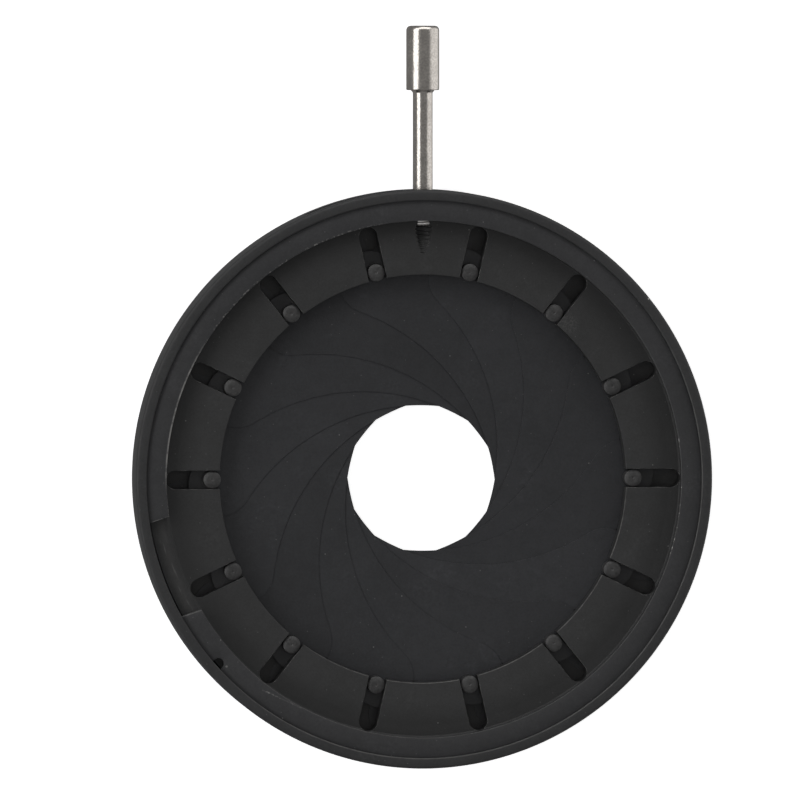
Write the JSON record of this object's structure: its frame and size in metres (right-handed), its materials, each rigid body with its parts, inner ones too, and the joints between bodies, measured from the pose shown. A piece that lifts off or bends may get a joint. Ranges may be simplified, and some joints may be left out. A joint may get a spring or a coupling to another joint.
{
  "type": "iris diaphragm",
  "caption": "Adjustable iris diaphragm: thin curved blades in a round black housing, opened and closed by a slotted ring with a turned steel lever.",
  "frame": {"origin": "on the optical axis, at the housing's back face", "axes": "+Z along the optical axis towards the retaining ring's side, +Y along the lever as stored, +X to the right seen from the front"},
  "size_m": [0.07, 0.0898, 0.0068],
  "materials": {
    "black_anodised": "matt black anodised",
    "black_ring": "matt black anodised",
    "black_blade": "thin matt black lacquer on spring steel",
    "dark_pin_steel": "blackened steel, worn grey",
    "bright_steel": "polished, turned"
  },
  "bodies": {
    "housing": {"housing": "black_anodised", "retaining_ring": "black_anodised"},
    "actuating_ring": {"slotted_ring": "black_ring", "control_lever": "bright_steel"},
    "blade_01": {"blade_01": "black_blade", "pivot_pin_01": "dark_pin_steel"},
    "drive_pin_01": {"drive_pin_01": "dark_pin_steel"},
    "blade_02": {"blade_02": "black_blade", "pivot_pin_02": "dark_pin_steel"},
    "drive_pin_02": {"drive_pin_02": "dark_pin_steel"},
    "blade_03": {"blade_03": "black_blade", "pivot_pin_03": "dark_pin_steel"},
    "drive_pin_03": {"drive_pin_03": "dark_pin_steel"},
    "blade_04": {"blade_04": "black_blade", "pivot_pin_04": "dark_pin_steel"},
    "drive_pin_04": {"drive_pin_04": "dark_pin_steel"},
    "blade_05": {"blade_05": "black_blade", "pivot_pin_05": "dark_pin_steel"},
    "drive_pin_05": {"drive_pin_05": "dark_pin_steel"},
    "blade_06": {"blade_06": "black_blade", "pivot_pin_06": "dark_pin_steel"},
    "drive_pin_06": {"drive_pin_06": "dark_pin_steel"},
    "blade_07": {"blade_07": "black_blade", "pivot_pin_07": "dark_pin_steel"},
    "drive_pin_07": {"drive_pin_07": "dark_pin_steel"},
    "blade_08": {"blade_08": "black_blade", "pivot_pin_08": "dark_pin_steel"},
    "drive_pin_08": {"drive_pin_08": "dark_pin_steel"},
    "blade_09": {"blade_09": "black_blade", "pivot_pin_09": "dark_pin_steel"},
    "drive_pin_09": {"drive_pin_09": "dark_pin_steel"},
    "blade_10": {"blade_10": "black_blade", "pivot_pin_10": "dark_pin_steel"},
    "drive_pin_10": {"drive_pin_10": "dark_pin_steel"},
    "blade_11": {"blade_11": "black_blade", "pivot_pin_11": "dark_pin_steel"},
    "drive_pin_11": {"drive_pin_11": "dark_pin_steel"},
    "blade_12": {"blade_12": "black_blade", "pivot_pin_12": "dark_pin_steel"},
    "drive_pin_12": {"drive_pin_12": "dark_pin_steel"},
    "blade_13": {"blade_13": "black_blade", "pivot_pin_13": "dark_pin_steel"},
    "drive_pin_13": {"drive_pin_13": "dark_pin_steel"},
    "blade_14": {"blade_14": "black_blade", "pivot_pin_14": "dark_pin_steel"},
    "drive_pin_14": {"drive_pin_14": "dark_pin_steel"}
  },
  "joints": [
    {"name": "lever_turn", "type": "hinge", "parent": "housing", "child": "actuating_ring", "pos_m": [0, 0, 0], "axis": [0, 0, 1], "range_deg": [-62.5, 22]},
    {"name": "blade_01_pivot", "type": "hinge", "parent": "housing", "child": "blade_01", "pos_m": [-0.02876, 0.00853, 0.001], "axis": [0, 0, 1], "range_deg": [-31.5, 11.5]},
    {"name": "drive_pin_01_swivel", "type": "hinge", "parent": "blade_01", "child": "drive_pin_01", "pos_m": [0.02506, 0.00072, 0.004], "axis": [0, 0, 1], "range_deg": [-63, 177.5]},
    {"name": "blade_02_pivot", "type": "hinge", "parent": "housing", "child": "blade_02", "pos_m": [-0.02961, -0.00479, 0.001], "axis": [0, 0, 1], "range_deg": [-31.5, 11.5]},
    {"name": "drive_pin_02_swivel", "type": "hinge", "parent": "blade_02", "child": "drive_pin_02", "pos_m": [0.02226, 0.01152, 0.004], "axis": [0, 0, 1], "range_deg": [-63, 177.5]},
    {"name": "blade_03_pivot", "type": "hinge", "parent": "housing", "child": "blade_03", "pos_m": [-0.0246, -0.01717, 0.001], "axis": [0, 0, 1], "range_deg": [-31.5, 11.5]},
    {"name": "drive_pin_03_swivel", "type": "hinge", "parent": "blade_03", "child": "drive_pin_03", "pos_m": [0.01506, 0.02004, 0.004], "axis": [0, 0, 1], "range_deg": [-63, 177.5]},
    {"name": "blade_04_pivot", "type": "hinge", "parent": "housing", "child": "blade_04", "pos_m": [-0.01472, -0.02614, 0.001], "axis": [0, 0, 1], "range_deg": [-31.5, 11.5]},
    {"name": "drive_pin_04_swivel", "type": "hinge", "parent": "blade_04", "child": "drive_pin_04", "pos_m": [0.00487, 0.02459, 0.004], "axis": [0, 0, 1], "range_deg": [-63, 177.5]},
    {"name": "blade_05_pivot", "type": "hinge", "parent": "housing", "child": "blade_05", "pos_m": [-0.00192, -0.02994, 0.001], "axis": [0, 0, 1], "range_deg": [-31.5, 11.5]},
    {"name": "drive_pin_05_swivel", "type": "hinge", "parent": "blade_05", "child": "drive_pin_05", "pos_m": [-0.00628, 0.02427, 0.004], "axis": [0, 0, 1], "range_deg": [-63, 177.5]},
    {"name": "blade_06_pivot", "type": "hinge", "parent": "housing", "child": "blade_06", "pos_m": [0.01126, -0.0278, 0.001], "axis": [0, 0, 1], "range_deg": [-31.5, 11.5]},
    {"name": "drive_pin_06_swivel", "type": "hinge", "parent": "blade_06", "child": "drive_pin_06", "pos_m": [-0.01619, 0.01914, 0.004], "axis": [0, 0, 1], "range_deg": [-63, 177.5]},
    {"name": "blade_07_pivot", "type": "hinge", "parent": "housing", "child": "blade_07", "pos_m": [0.02221, -0.02016, 0.001], "axis": [0, 0, 1], "range_deg": [-31.5, 11.5]},
    {"name": "drive_pin_07_swivel", "type": "hinge", "parent": "blade_07", "child": "drive_pin_07", "pos_m": [-0.02289, 0.01022, 0.004], "axis": [0, 0, 1], "range_deg": [-63, 177.5]},
    {"name": "blade_08_pivot", "type": "hinge", "parent": "housing", "child": "blade_08", "pos_m": [0.02876, -0.00853, 0.001], "axis": [0, 0, 1], "range_deg": [-31.5, 11.5]},
    {"name": "drive_pin_08_swivel", "type": "hinge", "parent": "blade_08", "child": "drive_pin_08", "pos_m": [-0.02506, -0.00072, 0.004], "axis": [0, 0, 1], "range_deg": [-63, 177.5]},
    {"name": "blade_09_pivot", "type": "hinge", "parent": "housing", "child": "blade_09", "pos_m": [0.02961, 0.00479, 0.001], "axis": [0, 0, 1], "range_deg": [-31.5, 11.5]},
    {"name": "drive_pin_09_swivel", "type": "hinge", "parent": "blade_09", "child": "drive_pin_09", "pos_m": [-0.02226, -0.01152, 0.004], "axis": [0, 0, 1], "range_deg": [-63, 177.5]},
    {"name": "blade_10_pivot", "type": "hinge", "parent": "housing", "child": "blade_10", "pos_m": [0.0246, 0.01717, 0.001], "axis": [0, 0, 1], "range_deg": [-31.5, 11.5]},
    {"name": "drive_pin_10_swivel", "type": "hinge", "parent": "blade_10", "child": "drive_pin_10", "pos_m": [-0.01506, -0.02004, 0.004], "axis": [0, 0, 1], "range_deg": [-63, 177.5]},
    {"name": "blade_11_pivot", "type": "hinge", "parent": "housing", "child": "blade_11", "pos_m": [0.01472, 0.02614, 0.001], "axis": [0, 0, 1], "range_deg": [-31.5, 11.5]},
    {"name": "drive_pin_11_swivel", "type": "hinge", "parent": "blade_11", "child": "drive_pin_11", "pos_m": [-0.00487, -0.02459, 0.004], "axis": [0, 0, 1], "range_deg": [-63, 177.5]},
    {"name": "blade_12_pivot", "type": "hinge", "parent": "housing", "child": "blade_12", "pos_m": [0.00192, 0.02994, 0.001], "axis": [0, 0, 1], "range_deg": [-31.5, 11.5]},
    {"name": "drive_pin_12_swivel", "type": "hinge", "parent": "blade_12", "child": "drive_pin_12", "pos_m": [0.00628, -0.02427, 0.004], "axis": [0, 0, 1], "range_deg": [-63, 177.5]},
    {"name": "blade_13_pivot", "type": "hinge", "parent": "housing", "child": "blade_13", "pos_m": [-0.01126, 0.0278, 0.001], "axis": [0, 0, 1], "range_deg": [-31.5, 11.5]},
    {"name": "drive_pin_13_swivel", "type": "hinge", "parent": "blade_13", "child": "drive_pin_13", "pos_m": [0.01619, -0.01914, 0.004], "axis": [0, 0, 1], "range_deg": [-63, 177.5]},
    {"name": "blade_14_pivot", "type": "hinge", "parent": "housing", "child": "blade_14", "pos_m": [-0.02221, 0.02016, 0.001], "axis": [0, 0, 1], "range_deg": [-31.5, 11.5]},
    {"name": "drive_pin_14_swivel", "type": "hinge", "parent": "blade_14", "child": "drive_pin_14", "pos_m": [0.02289, -0.01022, 0.004], "axis": [0, 0, 1], "range_deg": [-63, 177.5]}
  ],
  "couplings": [
    {"joint": "blade_01_pivot", "follows": "lever_turn", "ratio": 0.5},
    {"joint": "drive_pin_01_swivel", "follows": "lever_turn", "ratio": -2.83},
    {"joint": "blade_02_pivot", "follows": "lever_turn", "ratio": 0.5},
    {"joint": "drive_pin_02_swivel", "follows": "lever_turn", "ratio": -2.83},
    {"joint": "blade_03_pivot", "follows": "lever_turn", "ratio": 0.5},
    {"joint": "drive_pin_03_swivel", "follows": "lever_turn", "ratio": -2.83},
    {"joint": "blade_04_pivot", "follows": "lever_turn", "ratio": 0.5},
    {"joint": "drive_pin_04_swivel", "follows": "lever_turn", "ratio": -2.83},
    {"joint": "blade_05_pivot", "follows": "lever_turn", "ratio": 0.5},
    {"joint": "drive_pin_05_swivel", "follows": "lever_turn", "ratio": -2.83},
    {"joint": "blade_06_pivot", "follows": "lever_turn", "ratio": 0.5},
    {"joint": "drive_pin_06_swivel", "follows": "lever_turn", "ratio": -2.83},
    {"joint": "blade_07_pivot", "follows": "lever_turn", "ratio": 0.5},
    {"joint": "drive_pin_07_swivel", "follows": "lever_turn", "ratio": -2.83},
    {"joint": "blade_08_pivot", "follows": "lever_turn", "ratio": 0.5},
    {"joint": "drive_pin_08_swivel", "follows": "lever_turn", "ratio": -2.83},
    {"joint": "blade_09_pivot", "follows": "lever_turn", "ratio": 0.5},
    {"joint": "drive_pin_09_swivel", "follows": "lever_turn", "ratio": -2.83},
    {"joint": "blade_10_pivot", "follows": "lever_turn", "ratio": 0.5},
    {"joint": "drive_pin_10_swivel", "follows": "lever_turn", "ratio": -2.83},
    {"joint": "blade_11_pivot", "follows": "lever_turn", "ratio": 0.5},
    {"joint": "drive_pin_11_swivel", "follows": "lever_turn", "ratio": -2.83},
    {"joint": "blade_12_pivot", "follows": "lever_turn", "ratio": 0.5},
    {"joint": "drive_pin_12_swivel", "follows": "lever_turn", "ratio": -2.83},
    {"joint": "blade_13_pivot", "follows": "lever_turn", "ratio": 0.5},
    {"joint": "drive_pin_13_swivel", "follows": "lever_turn", "ratio": -2.83},
    {"joint": "blade_14_pivot", "follows": "lever_turn", "ratio": 0.5},
    {"joint": "drive_pin_14_swivel", "follows": "lever_turn", "ratio": -2.83}
  ]
}
